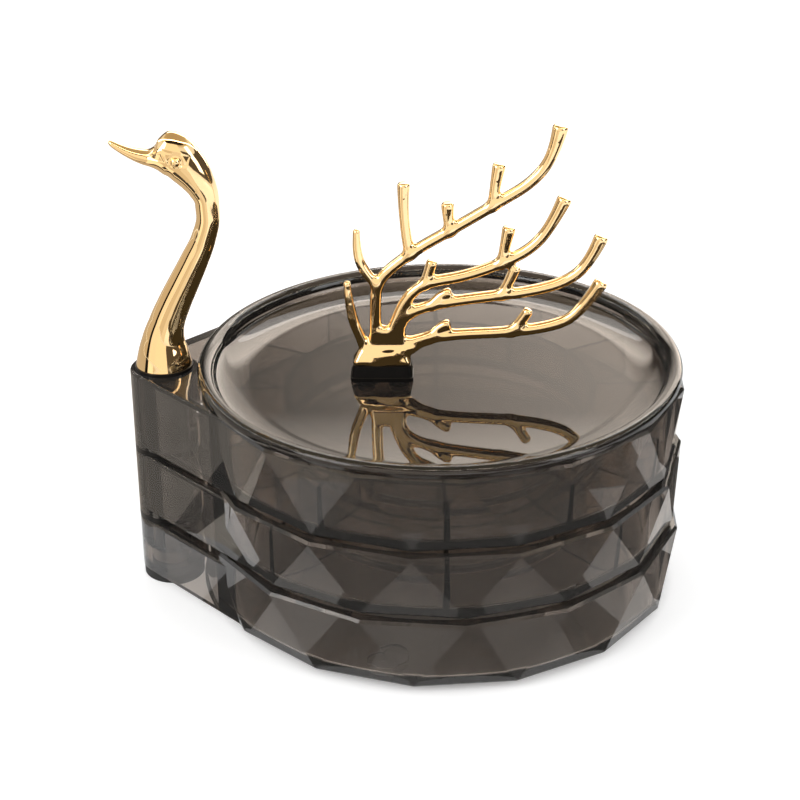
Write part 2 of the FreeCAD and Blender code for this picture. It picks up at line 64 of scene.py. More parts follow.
# %% Landmarks
dish_low, dish_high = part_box("lid_dish")
socket_low, socket_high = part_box("rack_socket")
LAND_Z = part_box("top_tray")[1].z
NECK_SEAT = Vector((0.0, 0.0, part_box("swan_neck")[0].z))
PIVOT = Vector((0.0, 0.0, 0.0))
STACK = Vector(((dish_low.x + dish_high.x) / 2, 0.0, 0.0))
SOCKET_X = (socket_low.x + socket_high.x) / 2
print("middle of the trays:", tuple(round(c, 4) for c in STACK), "land:", round(LAND_Z, 4))

# %% [markdown]
# ## Camera
# The photograph was taken with a long lens from a little above, almost square to the plane of the rack.
# A camera is easiest to read as a point on a sphere: how far, how high, how far round, and how much it rolls.
# The principal point stays in the middle of the frame, so no lens shift is needed.

# %% Camera
CAMERA_AIM = Vector((0.072312, -0.000301, 0.059874))
CAMERA_DISTANCE = 0.67655
CAMERA_RISE = math.radians(26.306)
CAMERA_ROUND = math.radians(1.404)
CAMERA_ROLL = math.radians(-0.694)
CAMERA_LENS = 98.57


def camera_axes(rise, around, roll):
    """Right, up and backward directions of a camera on a sphere round its aim."""
    back = Vector((math.sin(around) * math.cos(rise), -math.cos(around) * math.cos(rise), math.sin(rise)))
    level = Vector((math.cos(around), math.sin(around), 0.0))
    upright = back.cross(level)
    right = level * math.cos(roll) + upright * math.sin(roll)
    up = upright * math.cos(roll) - level * math.sin(roll)
    return right, up, back


right, up, back = camera_axes(CAMERA_RISE, CAMERA_ROUND, CAMERA_ROLL)
camera_data = bpy.data.cameras.new("camera")
camera_data.lens = CAMERA_LENS
camera_data.sensor_width = 36.0
camera_data.clip_start = 0.01
camera = bpy.data.objects.new("camera", camera_data)
camera.matrix_world = Matrix((
    (right.x, up.x, back.x, CAMERA_AIM.x + back.x * CAMERA_DISTANCE),
    (right.y, up.y, back.y, CAMERA_AIM.y + back.y * CAMERA_DISTANCE),
    (right.z, up.z, back.z, CAMERA_AIM.z + back.z * CAMERA_DISTANCE),
    (0.0, 0.0, 0.0, 1.0),
))
scene.collection.objects.link(camera)
scene.camera = camera
scene.view_settings.view_transform = "Standard"
print("camera at", tuple(round(c, 3) for c in camera.matrix_world.translation))

# %% [markdown]
# ## Shader maths as plain expressions
# A node tree is hard to read as a list of links. This small class wraps one output socket, so that
# `1 - mask * 0.3` adds the Math nodes that it needs. Every other node comes from `node`, which takes the
# node's type, its settings and the values or links of its inputs.

# %% Shader helper
class Wire:
    """One output socket of a node tree, with arithmetic."""

    def __init__(self, tree, socket):
        self.tree = tree
        self.socket = socket

    def _math(self, operation, *values):
        return self.tree.node("ShaderNodeMath", {"operation": operation}, dict(enumerate(values)))

    def __add__(self, other):
        return self._math("ADD", self, other)

    def __mul__(self, other):
        return self._math("MULTIPLY", self, other)

    def __sub__(self, other):
        return self._math("SUBTRACT", self, other)

    def __rsub__(self, other):
        return self._math("SUBTRACT", other, self)

    def limited(self):
        """The value, held between 0 and 1."""
        return self._math("MINIMUM", self._math("MAXIMUM", self, 0.0), 1.0)

    __radd__ = __add__


class Finish:
    """A material under construction: its node tree, its surface shader, and a way to add nodes."""

    def __init__(self, name):
        self.material = bpy.data.materials.new(name)
        self.material.use_nodes = True
        self.tree = self.material.node_tree
        self.tree.nodes.clear()
        self.surface = self.tree.nodes.new("ShaderNodeBsdfPrincipled")
        self.output = self.tree.nodes.new("ShaderNodeOutputMaterial")
        self.tree.links.new(self.surface.outputs[0], self.output.inputs["Surface"])

    def plug(self, socket, value):
        if isinstance(value, Wire):
            self.tree.links.new(value.socket, socket)
        else:
            socket.default_value = value

    def node(self, kind, settings=None, inputs=None, output=0):
        """Adds a node and gives back the wire that leaves one of its outputs."""
        made = self.tree.nodes.new(kind)
        for name, value in (settings or {}).items():
            if name == "stops":
                ramp = made.color_ramp
                while len(ramp.elements) < len(value):
                    ramp.elements.new(0.5)
                for element, (position, colour) in zip(ramp.elements, value):
                    element.position = position
                    element.color = colour
            else:
                setattr(made, name, value)
        for name, value in (inputs or {}).items():
            self.plug(made.inputs[name], value)
        return Wire(self, made.outputs[output])

    def set(self, **values):
        """Values or wires for the surface shader, named by its sockets with _ for a space."""
        for name, value in values.items():
            self.plug(self.surface.inputs[name.replace("_", " ")], value)

    def place(self):
        """Where a point of the surface is, in metres."""
        return self.node("ShaderNodeTexCoord", output="Object")

    def noise(self, scale, detail):
        inputs = {"Vector": self.place(), "Scale": scale, "Detail": detail}
        return self.node("ShaderNodeTexNoise", None, inputs)

    def bump(self, height, strength, distance):
        inputs = {"Height": height, "Strength": strength, "Distance": distance}
        return self.node("ShaderNodeBump", None, inputs)

    def between(self, factor, first, second):
        """Colour mix, from first at 0 to second at 1."""
        ends = {"Factor": factor, 6: first, 7: second}
        return self.node("ShaderNodeMix", {"data_type": "RGBA"}, ends, output=2)

    def shown(self):
        """1 for a ray that shows what it meets, and 0 for one that only gathers light."""
        kinds = ["Is %s Ray" % kind for kind in ("Camera", "Glossy", "Transmission")]
        camera_ray, glossy_ray, clear_ray = [self.node("ShaderNodeLightPath", output=kind) for kind in kinds]
        return (camera_ray + glossy_ray + clear_ray).limited()


print("shader helper ready")

# %% [markdown]
# ## Smoky plastic
# The trays are injection moulded in see-through smoke grey. Light is bent where it enters and leaves, and is
# soaked up inside, so an edge or a floor seen end-on is far darker than a wall seen square. Absorption in the
# volume gives all of that by itself. A few hundredths of the light are scattered instead, the faint haze of
# moulded plastic. The dish is far thinner than the walls and just as dark, so its smoke is denser. Only the
# skin varies: flow marks tint it faintly and roughen it a little.

# %% Smoky plastic
SMOKE_TINT = (0.12, 0.05, 0.0, 1.0)
WALL_DENSITY = 205.0
WALL_CLEARNESS = 0.968
DISH_DENSITY = 950.0
DISH_CLEARNESS = 0.985


def smoke_plastic(name, density, clearness):
    """Smoke of a density per metre, in a skin that lets a share of the light through."""
    finish = Finish(name)
    flow = finish.noise(45.0, 3.0)
    finish.set(
        Base_Color=finish.between(flow, (0.97, 0.91, 0.85, 1.0), (1.0, 0.95, 0.89, 1.0)),
        Roughness=(flow * 0.02).limited(),
        IOR=1.49,
        Transmission_Weight=clearness,
    )
    soak = finish.node("ShaderNodeVolumeAbsorption", None, {"Color": SMOKE_TINT, "Density": density})
    finish.plug(finish.output.inputs["Volume"], soak)
    return finish.material


wall_smoke = smoke_plastic("wall_smoke", WALL_DENSITY, WALL_CLEARNESS)
dish_smoke = smoke_plastic("dish_smoke", DISH_DENSITY, DISH_CLEARNESS)
print("smoke finishes:", wall_smoke.name, dish_smoke.name)

# %% [markdown]
# ## Gold plating
# The neck and the rack are zinc castings under a thin polished gold plate. Plating follows the casting, so
# it keeps a very shallow unevenness that bends the reflections, and it is a touch duller where it is
# handled.

# %% Gold plating
GOLD = (0.98, 0.74, 0.42, 1.0)
GOLD_DEEP = (0.94, 0.66, 0.33, 1.0)


def gold_plate():
    finish = Finish("gold_plate")
    swell = finish.noise(60.0, 2.0)
    wear = finish.noise(420.0, 5.0)
    finish.set(
        Base_Color=finish.between(swell, GOLD, GOLD_DEEP),
        Metallic=1.0,
        Roughness=(0.03 + wear * 0.04).limited(),
        Normal=finish.bump(swell, 0.05, 0.0004),
    )
    return finish.material


gold = gold_plate()
print("gold:", gold.name)

# %% [markdown]
# ## Black plastic, rubber and turned metal
# The small parts: the spacers, the bushes, the ring under the neck and the rack's socket are black acetal
# with a satin moulded skin. The feet are rubber, black under the lug and clear under the tray. The bolt and
# its insert are turned metal, and the eye is as bright as the plate round it.

# %% Small parts
def black_plastic():
    finish = Finish("black_plastic")
    grain = finish.noise(1400.0, 3.0)
    finish.set(
        Base_Color=finish.between(grain, (0.004, 0.004, 0.004, 1.0), (0.010, 0.009, 0.009, 1.0)),
        Roughness=0.28 + grain * 0.12,
        Specular_IOR_Level=0.22,
        Normal=finish.bump(grain, 0.15, 0.00008),
    )
    return finish.material


def foot_rubber():
    finish = Finish("foot_rubber")
    grain = finish.noise(2200.0, 4.0)
    finish.set(
        Base_Color=finish.between(grain, (0.008, 0.008, 0.008, 1.0), (0.020, 0.020, 0.020, 1.0)),
        Roughness=0.62 + grain * 0.2,
        Normal=finish.bump(grain, 0.3, 0.0001),
    )
    return finish.material


def clear_rubber():
    finish = Finish("clear_rubber")
    haze = finish.noise(500.0, 3.0)
    finish.set(
        Base_Color=finish.between(haze, (0.55, 0.53, 0.50, 1.0), (0.70, 0.68, 0.65, 1.0)),
        Roughness=0.18 + haze * 0.12,
        Alpha=0.16 + haze * 0.10,
        IOR=1.41,
    )
    return finish.material


def turned_metal(name, colour, dark):
    finish = Finish(name)
    rings = finish.noise(700.0, 2.0)
    finish.set(
        Base_Color=finish.between(rings, colour, dark),
        Metallic=1.0,
        Roughness=0.24 + rings * 0.12,
        Normal=finish.bump(rings, 0.1, 0.00005),
    )
    return finish.material


def eye_enamel():
    finish = Finish("eye_enamel")
    speck = finish.noise(1800.0, 2.0)
    finish.set(
        Base_Color=finish.between(speck, GOLD, GOLD_DEEP),
        Metallic=1.0,
        Roughness=0.08 + speck * 0.05,
    )
    return finish.material


black = black_plastic()
FINISH_OF_SLOT = {
    "smoke_plastic": wall_smoke,
    "black_plastic": black,
    "rubber": foot_rubber(),
    "clear_rubber": clear_rubber(),
    "gold_plate": gold,
    "brass": turned_metal("brass_turned", (0.78, 0.58, 0.28, 1.0), (0.60, 0.42, 0.18, 1.0)),
    "steel": turned_metal("steel_turned", (0.62, 0.62, 0.63, 1.0), (0.45, 0.45, 0.46, 1.0)),
    "eye": eye_enamel(),
}
slot_of_node = {entry["node"]: entry["material_slot"] for entry in frame["record"]["subparts"]}
for name, piece in nodes.items():
    piece.data.materials.clear()
    piece.data.materials.append(FINISH_OF_SLOT[slot_of_node[name]])
nodes["lid_dish"].data.materials[0] = dish_smoke
print("dressed", len(nodes), "solids")

# %% [markdown]
# ## Pieces built again
# A mesh made here stands in for an imported solid, which it hides. It is shaded smooth, but an edge sharper
# than the crease angle stays crisp, as a tool would leave it. The dish, the socket and the neck are made of
# closed rings of points, joined by faces and capped at both ends. The rack needs another way, further down.

# %% Mesh helper
CREASE = 32.0


def mesh_piece(name, points, faces, material, node, crease=180.0):
    """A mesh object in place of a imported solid, smooth but for edges sharper than the crease angle."""
    data = bpy.data.meshes.new(name)
    data.from_pydata(points, [], faces)
    data.update()
    data.shade_smooth()
    data.set_sharp_from_angle(angle=math.radians(crease))
    piece = bpy.data.objects.new(name, data)
    scene.collection.objects.link(piece)
    data.materials.append(material)
    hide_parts(node)
    return piece


def ringed(rings):
    """Points and faces of closed rings of equal length, with a cap on the first and on the last."""
    count = len(rings[0])
    points = [p for ring in rings for p in ring]
    faces = []
    for level in range(len(rings) - 1):
        for i in range(count):
            j = (i + 1) % count
            a, b = level * count, (level + 1) * count
            faces.append((a + i, a + j, b + j, b + i))
    last = (len(rings) - 1) * count
    return points, faces + [tuple(reversed(range(count))), tuple(last + i for i in range(count))]


print("mesh helper ready")

# %% [markdown]
# ## The lid dish
# The dish is turned: one profile, spun about the middle of the trays. Its bowl runs out in a long curve, so
# that the mirrored rack bends near the rim, and its floor lies a little higher than the solid's, as the
# mirrored rack in the picture shows. Rim, seat and outline are the solid's own. Two bosses under the floor
# take the screws of the rack. All sizes of the profile are in millimetres, with heights from the land.

# %% Sizes of the dish
SPIN = 240
CENTRE_R = 2.0
BOWL_FLAT_R = 57.5
FLOOR_DROP = 3.6
DISH_THICK = 1.9
CREST_INSET = 2.0
BOWL_INSET = 5.0
SEAT_INSET = 0.7
RIM_TURN = 1.5
PLUG_INSET = 4.5
PLUG_TURN = 1.2
PLUG_TURN_Z = -3.9
PLUG_SIDE_Z = -2.7
BOSS_R = 3.4
BOSS_OFFSET = 5.0
BOSS_SINK = 0.05
BOSS_EVERY = 10
turns = [2.0 * math.pi * i / SPIN for i in range(SPIN)]
rim_r = (dish_high.x - dish_low.x) / MM / 2
rim_top = (dish_high.z - LAND_Z) / MM
print("rim:", round(rim_r, 2), "mm from the middle,", round(rim_top, 2), "mm above the land")


def quarter(start, corner, end, pieces):
    """Quarter of an ellipse that rounds the corner between two points of a profile, without its start."""
    bends = [math.pi / 2 * i / pieces for i in range(1, pieces + 1)]
    centre = [start[i] + end[i] - corner[i] for i in (0, 1)]
    return [tuple(centre[i] + (start[i] - centre[i]) * math.cos(t) + (end[i] - centre[i]) * math.sin(t)
                  for i in (0, 1)) for t in bends]


def circle(middle_x, radius, z, angles):
    """Ring of points about an upright axis in the plane of the rack, in metres."""
    return [(middle_x + radius * math.cos(t), radius * math.sin(t), z) for t in angles]


# %% Turn the dish
under_z = -FLOOR_DROP - DISH_THICK
seat_r, crest_r, bowl_r = rim_r - SEAT_INSET, rim_r - CREST_INSET, rim_r - BOWL_INSET
plug_r = rim_r - PLUG_INSET
turn_r = plug_r - PLUG_TURN
shoulder = rim_top - (crest_r - bowl_r)
profile = [(CENTRE_R, under_z), (BOWL_FLAT_R, under_z)]
profile += quarter((BOWL_FLAT_R, under_z), (turn_r, under_z), (turn_r, PLUG_TURN_Z), 6)
profile += [(plug_r, PLUG_SIDE_Z), (plug_r, 0.0), (seat_r, 0.0)]
profile += quarter((seat_r, 0.0), (rim_r, 0.0), (rim_r, RIM_TURN), 6)
profile += quarter((rim_r, RIM_TURN), (rim_r, rim_top), (crest_r, rim_top), 8)
profile += quarter((crest_r, rim_top), (bowl_r, rim_top), (bowl_r, shoulder), 8)
profile += quarter((bowl_r, shoulder), (bowl_r, -FLOOR_DROP), (BOWL_FLAT_R, -FLOOR_DROP), 24)
profile += [(CENTRE_R, -FLOOR_DROP)]
points, faces = ringed([circle(STACK.x, r * MM, LAND_Z + z * MM, turns) for r, z in profile])
for side in (-BOSS_OFFSET, BOSS_OFFSET):
    boss = [circle(SOCKET_X + side * MM, BOSS_R * MM, z, turns[::BOSS_EVERY])
            for z in (dish_low.z, LAND_Z + (under_z + BOSS_SINK) * MM)]
    boss_points, boss_faces = ringed(boss)
    faces += [tuple(i + len(points) for i in face) for face in boss_faces]
    points += boss_points
dish = mesh_piece("lid_dish_turned", points, faces, dish_smoke, "lid_dish", CREASE)
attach(dish, "lid")
print("dish:", len(profile), "rings of", SPIN)

# %% [markdown]
# ## The rack's socket
# The socket is a moulded block that stands on the dish's floor: a straight lip with rounded corners, a small
# step in, and sides that lean in up to the foot of the rack. It is stacked from oblong rings.

# %% Mould the socket
SOCKET_CORNER = 1.4
# How much shorter and narrower a ring is than the lip, and how high above the dish's floor it lies
SOCKET_RINGS = [(0.0, 0.0), (0.0, 1.2), (0.5, 1.35), (1.5, 4.9)]


def oblong(length, width, z):
    """Ring of points round an oblong with rounded corners, with its sizes in millimetres."""
    ring = []
    for start, side_x, side_y in ((0, 1, 1), (90, -1, 1), (180, -1, -1), (270, 1, -1)):
        corner_x, corner_y = side_x * (length / 2 - SOCKET_CORNER), side_y * (width / 2 - SOCKET_CORNER)
        for bend in (0.0, 22.5, 45.0, 67.5, 90.0):
            x = corner_x + SOCKET_CORNER * math.cos(math.radians(start + bend))
            y = corner_y + SOCKET_CORNER * math.sin(math.radians(start + bend))
            ring.append((SOCKET_X + x * MM, y * MM, LAND_Z + z * MM))
    return ring


length, width = (socket_high.x - socket_low.x) / MM, (socket_high.y - socket_low.y) / MM
points, faces = ringed([oblong(length - less, width - less, up - FLOOR_DROP) for less, up in SOCKET_RINGS])
socket = mesh_piece("rack_socket_moulded", points, faces, black, "rack_socket", CREASE)
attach(socket, "lid")
print("socket:", len(points), "points")

# %% [markdown]
# ## Cast metal as a distance field
# The rack is one zinc casting. Its bars don't stop where they meet: the metal flows from one into the next
# in a soft web. Joining tubes with a boolean leaves hard seams, and smoothing them afterwards makes the thin
# bars thinner. So the casting is described by distance: every point of a grid knows how far it is from each
# bar, and a soft minimum blends the bars as it joins them. The skin is then drawn where the distance is zero.

# %% Distance helpers
def soft_union(first, second, reach):
    """Lesser of two distances, rounded off where they differ by less than the reach."""
    share = np.clip(0.5 + 0.5 * (second - first) / reach, 0.0, 1.0)
    return second + (first - second) * share - reach * share * (1.0 - share)


def soft_cut(first, second, reach):
    """Greater of two distances, rounded off in the same way."""
    return -soft_union(-first, -second, reach)


class Casting:
    """A grid of distances in millimetres, and the shapes that are cast into it."""

    FAR = 9.0
    MARGIN = 4.0

    def __init__(self, low, high, step):
        self.step = step
        self.low = np.array(low, dtype=float)
        counts = np.ceil((np.array(high) - self.low) / step).astype(int) + 1
        self.lines = [self.low[i] + step * np.arange(counts[i]) for i in range(3)]
        self.field = np.full(counts, self.FAR)

    def window(self, low, high):
        """Slices of the grid that cover a box, and the coordinates of its points."""
        first = [max(0, int((low[i] - self.low[i]) / self.step)) for i in range(3)]
        last = [min(len(self.lines[i]), int((high[i] - self.low[i]) / self.step) + 2) for i in range(3)]
        span = tuple(slice(a, b) for a, b in zip(first, last))
        return span, np.meshgrid(*[self.lines[i][span[i]] for i in range(3)], indexing="ij")

    def add(self, distance, reach):
        """Joins a shape to the casting, with a web as wide as the reach."""
        self.field = soft_union(self.field, distance, reach)

    def bar(self, path, radii):
        """Distance from a round bar along a path, with a radius at every point of it."""
        distance = np.full(self.field.shape, self.FAR)
        for a, b, ra, rb in zip(path, path[1:], radii, radii[1:]):
            margin = max(ra, rb) + self.MARGIN
            span, (x, y, z) = self.window(np.minimum(a, b) - margin, np.maximum(a, b) + margin)
            run = b - a
            along = ((x - a[0]) * run[0] + (y - a[1]) * run[1] + (z - a[2]) * run[2]) / run.dot(run)
            along = np.clip(along, 0.0, 1.0)
            gap = np.sqrt((x - a[0] - along * run[0]) ** 2 + (y - a[1] - along * run[1]) ** 2
                          + (z - a[2] - along * run[2]) ** 2)
            distance[span] = np.minimum(distance[span], gap - (ra + along * (rb - ra)))
        return distance

    def beyond(self, point, direction):
        """Distance in front of a plane that faces a direction."""
        x, y, z = np.meshgrid(*self.lines, indexing="ij")
        return (x - point[0]) * direction[0] + (y - point[1]) * direction[1] + (z - point[2]) * direction[2]

    def skin(self):
        """Corners and quads of the surface where the distance is zero, one corner in each crossed cell."""
        field = self.field
        room = tuple(n - 1 for n in field.shape)
        total = np.zeros(room + (3,))
        count = np.zeros(room)
        corners = [(i, j, k) for i in (0, 1) for j in (0, 1) for k in (0, 1)]

        def shifted(values, offset):
            return values[tuple(slice(o, o + n) for o, n in zip(offset, room))]

        for offset in corners:
            for axis in range(3):
                if offset[axis]:
                    continue
                other = tuple(o + (i == axis) for i, o in enumerate(offset))
                here, there = shifted(field, offset), shifted(field, other)
                crossed = (here < 0) != (there < 0)
                share = here[crossed] / (here[crossed] - there[crossed])
                place = np.array(offset, dtype=float) + share[:, None] * np.eye(3)[axis]
                total[crossed] += place
                count[crossed] += 1
        live = count > 0
        number = np.full(room, -1)
        number[live] = np.arange(live.sum())
        points = self.low + self.step * (np.argwhere(live) + total[live] / count[live][:, None])
        quads = []
        inside = field < 0
        for axis in range(3):
            one, two = [i for i in range(3) if i != axis]
            near = [slice(1, n - 1) for n in field.shape]
            near[axis] = slice(0, field.shape[axis] - 1)
            far = list(near)
            far[axis] = slice(1, field.shape[axis])
            a, b = inside[tuple(near)], inside[tuple(far)]
            spots = np.argwhere(a != b)
            spots[:, one] += 1
            spots[:, two] += 1
            outward = a[a != b]
            ring = []
            for back_one, back_two in ((1, 1), (0, 1), (0, 0), (1, 0)):
                cell = spots.copy()
                cell[:, one] -= back_one
                cell[:, two] -= back_two
                ring.append(number[tuple(cell.T)])
            ring = np.array(ring).T
            turned = outward if axis != 1 else ~outward
            ring[~turned] = ring[~turned][:, ::-1]
            quads.append(ring)
        return points, np.concatenate(quads)


def smooth_line(corners, pieces):
    """Curve that leaves the first corner, bends towards the others and ends at the last one."""
    corners = [np.array(c, dtype=float) for c in corners]
    bends = corners[1:-1]
    stops = [corners[0]] + [(a + b) / 2 for a, b in zip(bends, bends[1:])] + [corners[-1]]
    line = [stops[0]]
    for start, bend, end in zip(stops, bends, stops[1:]):
        for i in range(1, pieces + 1):
            t = i / pieces
            line.append(start * (1 - t) ** 2 + bend * 2 * t * (1 - t) + end * t ** 2)
    return np.array(line)


print("casting helper ready")

# %% [markdown]
# ## The branch rack
# Four branches and eleven prongs rise from a foot that stands on the socket. Every bar is a route with three
# sizes: how thick it is where it leaves the trunk, along its run, and at its tip, which swells and then
# ends nearly flat. The routes use nearly the same corners as the solid, measured in millimetres along and up
# from the socket's top. A few short bars fill the corners of the trunk.

# %% Rack routes
BRANCHES = {
    "upper": ([(-1.8, 1.5), (-2.0, 20.0), (-1.0, 28.6), (9.6, 37.4), (21.4, 44.4), (34.9, 52.8), (45.2, 59.2),
               (51.2, 67.4), (52.9, 75.9)], 2.6, 1.78, 2.4),
    "second": ([(1.0, 4.0), (4.6, 16.4), (9.0, 24.2), (14.5, 27.6), (25.0, 29.2), (37.2, 33.8), (45.4, 38.4),
                (51.0, 45.6), (54.5, 53.6)], 2.6, 1.78, 2.3),
    "third": ([(3.0, 4.0), (5.0, 13.6), (9.4, 18.0), (17.0, 20.4), (30.0, 22.4), (43.5, 24.0), (55.0, 27.0),
               (62.2, 32.8), (65.7, 41.4)], 2.7, 1.78, 2.25),
    "lower": ([(0.0, 3.0), (5.0, 6.8), (13.0, 8.8), (22.3, 10.2), (37.5, 10.8), (51.0, 12.6), (59.6, 16.4),
               (66.0, 26.8)], 2.6, 1.78, 2.25),
}
PRONGS = {
    "back_low": ([(-4.0, 3.0), (-6.2, 8.6), (-9.4, 16.6), (-10.1, 25.6)], 2.0, 1.6, 1.15),
    "back_high": ([(-1.4, 26.6), (-4.8, 30.6), (-7.2, 36.6), (-7.1, 42.4)], 1.5, 1.6, 1.15),
    "upper_1": ([(8.8, 36.5), (6.7, 46.4), (7.1, 58.5)], 1.7, 1.55, 1.95),
    "upper_2": ([(20.9, 43.6), (20.2, 47.0), (20.1, 52.2)], 1.5, 1.6, 2.0),
    "upper_3": ([(33.4, 51.8), (33.8, 56.6), (35.2, 64.3)], 1.5, 1.6, 2.05),
    "second_1": ([(13.0, 26.6), (14.1, 29.6), (15.4, 33.8)], 1.5, 1.6, 1.8),
    "second_2": ([(36.2, 33.3), (37.0, 38.0), (38.3, 44.4)], 1.6, 1.6, 2.1),
    "third_1": ([(15.4, 19.8), (17.0, 23.2), (20.6, 24.0)], 1.4, 1.4, 1.6),
    "third_2": ([(36.2, 23.2), (38.2, 26.6), (40.4, 31.9)], 1.5, 1.6, 1.8),
    "lower_1": ([(14.8, 9.0), (16.8, 12.8), (20.2, 13.6)], 1.4, 1.4, 1.6),
    "lower_2": ([(39.2, 10.9), (41.8, 13.6), (44.4, 17.8)], 1.5, 1.6, 1.7),
}
TRUNK_FILL = [([(-1.8, 4.0), (-0.6, 10.5)], 2.3), ([(-0.6, 10.5), (3.6, 11.0)], 2.0),
              ([(5.2, 5.0), (4.6, 11.0)], 2.2), ([(2.0, 5.0), (2.0, 9.5)], 2.4),
              ([(5.0, 3.2), (9.0, 6.4)], 2.3), ([(9.0, 6.4), (14.0, 8.8)], 1.9)]
print("bars:", len(BRANCHES) + len(PRONGS))

# %% Thickness along a bar
FLARE_LENGTH = 11.0
ROOT_LENGTH = 12.0
SHORT_FLARE = 0.7
SHORT_ROOT = 0.5


def radii_along(path, root, run, tip):
    """Radius at every point: thick at the root, even along the run, swelling towards the tip."""
    steps = np.linalg.norm(np.diff(path, axis=0), axis=1)
    gone = np.concatenate([[0.0], np.cumsum(steps)])
    whole = gone[-1]
    near_root = np.clip(1.0 - gone / min(ROOT_LENGTH, whole * SHORT_ROOT), 0.0, 1.0) ** 2
    near_tip = np.clip(1.0 - (whole - gone) / min(FLARE_LENGTH, whole * SHORT_FLARE), 0.0, 1.0) ** 1.5
    return run + (root - run) * near_root + (tip - run) * near_tip


print("a bar swells over its last", FLARE_LENGTH, "mm")

# %% [markdown]
# ### Foot and trunk
# The foot is a block with rounded edges whose faces lean in as they rise. Above it the branches leave the
# trunk close together, and there the casting is pressed flat, so that the trunk is a plate, not a bundle.

# %% Foot and trunk
FOOT_HALF = (8.1, 3.1, 2.5)
FOOT_UP = 3.3
FOOT_ROUND = 1.5
FOOT_TAPER = 0.26
FOOT_END_SHARE = 0.6
TRUNK_HALF = 2.0
TRUNK_MIDDLE = 13.0
TRUNK_REACH = 5.0
TRUNK_FADE = 4.0
TRUNK_FREE = 3.0
TRUNK_EDGE = 0.5


def foot_distance(casting):
    """Block that narrows upwards, so that its faces lean back; its ends lean less than its sides."""
    x, y, z = np.meshgrid(*casting.lines, indexing="ij")
    lean = 1.0 - FOOT_TAPER * np.clip((z - FOOT_UP) / FOOT_HALF[2], -1.0, 1.0)
    gaps = [np.abs(x) - FOOT_HALF[0] * (1.0 - FOOT_END_SHARE + FOOT_END_SHARE * lean) + FOOT_ROUND,
            np.abs(y) - FOOT_HALF[1] * lean + FOOT_ROUND,
            np.abs(z - FOOT_UP) - FOOT_HALF[2] + FOOT_ROUND]
    outside = np.sqrt(sum(np.maximum(g, 0.0) ** 2 for g in gaps))
    return outside + np.minimum(np.maximum(np.maximum(*gaps[:2]), gaps[2]), 0.0) - FOOT_ROUND


def trunk_distance(casting):
    """Distance from the two faces of the plate, which step back above and below the trunk."""
    x, y, z = np.meshgrid(*casting.lines, indexing="ij")
    away = np.clip((np.abs(z - TRUNK_MIDDLE) - TRUNK_REACH) / TRUNK_FADE, 0.0, 1.0)
    return np.abs(y) - (TRUNK_HALF + TRUNK_FREE * away ** 2)


print("trunk:", 2 * TRUNK_HALF, "mm thick")

# %% [markdown]
# ### Casting
# Foot and bars are added to the grid one by one, each with a web of its own size: wide where a branch leaves
# the trunk, narrow at a prong. A plane cuts each swelling tip off short. At the end a light smoothing takes
# out the trace of the grid.

# %% Cast the rack
GRID_LOW = (-14.5, -5.0, -1.0)
GRID_HIGH = (72.0, 5.0, 79.5)
GRID_STEP = 0.36
PIECES_PER_BEND = 7
NO_WEB = 0.01
BRANCH_WEB = 2.4
PRONG_WEB = 1.5
FILL_WEB = 1.2
TIP_CUT = 0.45
TIP_ROUND = 1.3


def cast_rack():
    casting = Casting(GRID_LOW, GRID_HIGH, GRID_STEP)
    casting.add(foot_distance(casting), NO_WEB)
    webs = [BRANCH_WEB] * len(BRANCHES) + [PRONG_WEB] * len(PRONGS)
    for (corners, root, run, tip), web in zip(list(BRANCHES.values()) + list(PRONGS.values()), webs):
        path = smooth_line([(a, 0.0, u) for a, u in corners], PIECES_PER_BEND)
        end = path[-1]
        heading = (path[-1] - path[-2]) / np.linalg.norm(path[-1] - path[-2])
        longer = np.vstack([path, end + heading * tip])
        radii = radii_along(path, root, run, tip)
        bar = casting.bar(longer, np.append(radii, radii[-1]))
        if tip > run:
            bar = soft_cut(bar, casting.beyond(end + heading * tip * TIP_CUT, heading), TIP_ROUND)
        casting.add(bar, web)
    for corners, size in TRUNK_FILL:
        path = np.array([(a, 0.0, u) for a, u in corners])
        casting.add(casting.bar(path, [size] * len(path)), FILL_WEB)
    casting.field = soft_cut(casting.field, trunk_distance(casting), TRUNK_EDGE)
    return casting


socket_top = np.array((SOCKET_X, 0.0, socket_high.z))
points, quads = cast_rack().skin()
points = (points * MM + socket_top).tolist()
rack = mesh_piece("branch_rack_cast", points, quads.tolist(), gold, "branch_rack")
relax = rack.modifiers.new("relax", "SMOOTH")
relax.factor = 0.5
relax.iterations = 4
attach(rack, "lid")
print("rack skin:", len(points), "points", len(quads), "quads")

# %% [markdown]
# ## The swan neck
# The neck is cast too. It is one long tapering form, so it is drawn as rings on a curved spine: each station
# says how far along and up from the neck's seat the ring sits, how many degrees it tilts, and its two radii,
# in the plane of the rack and across it. Between stations the values are blended by a curve that never
# overshoots, which keeps the profile of the bill clean.

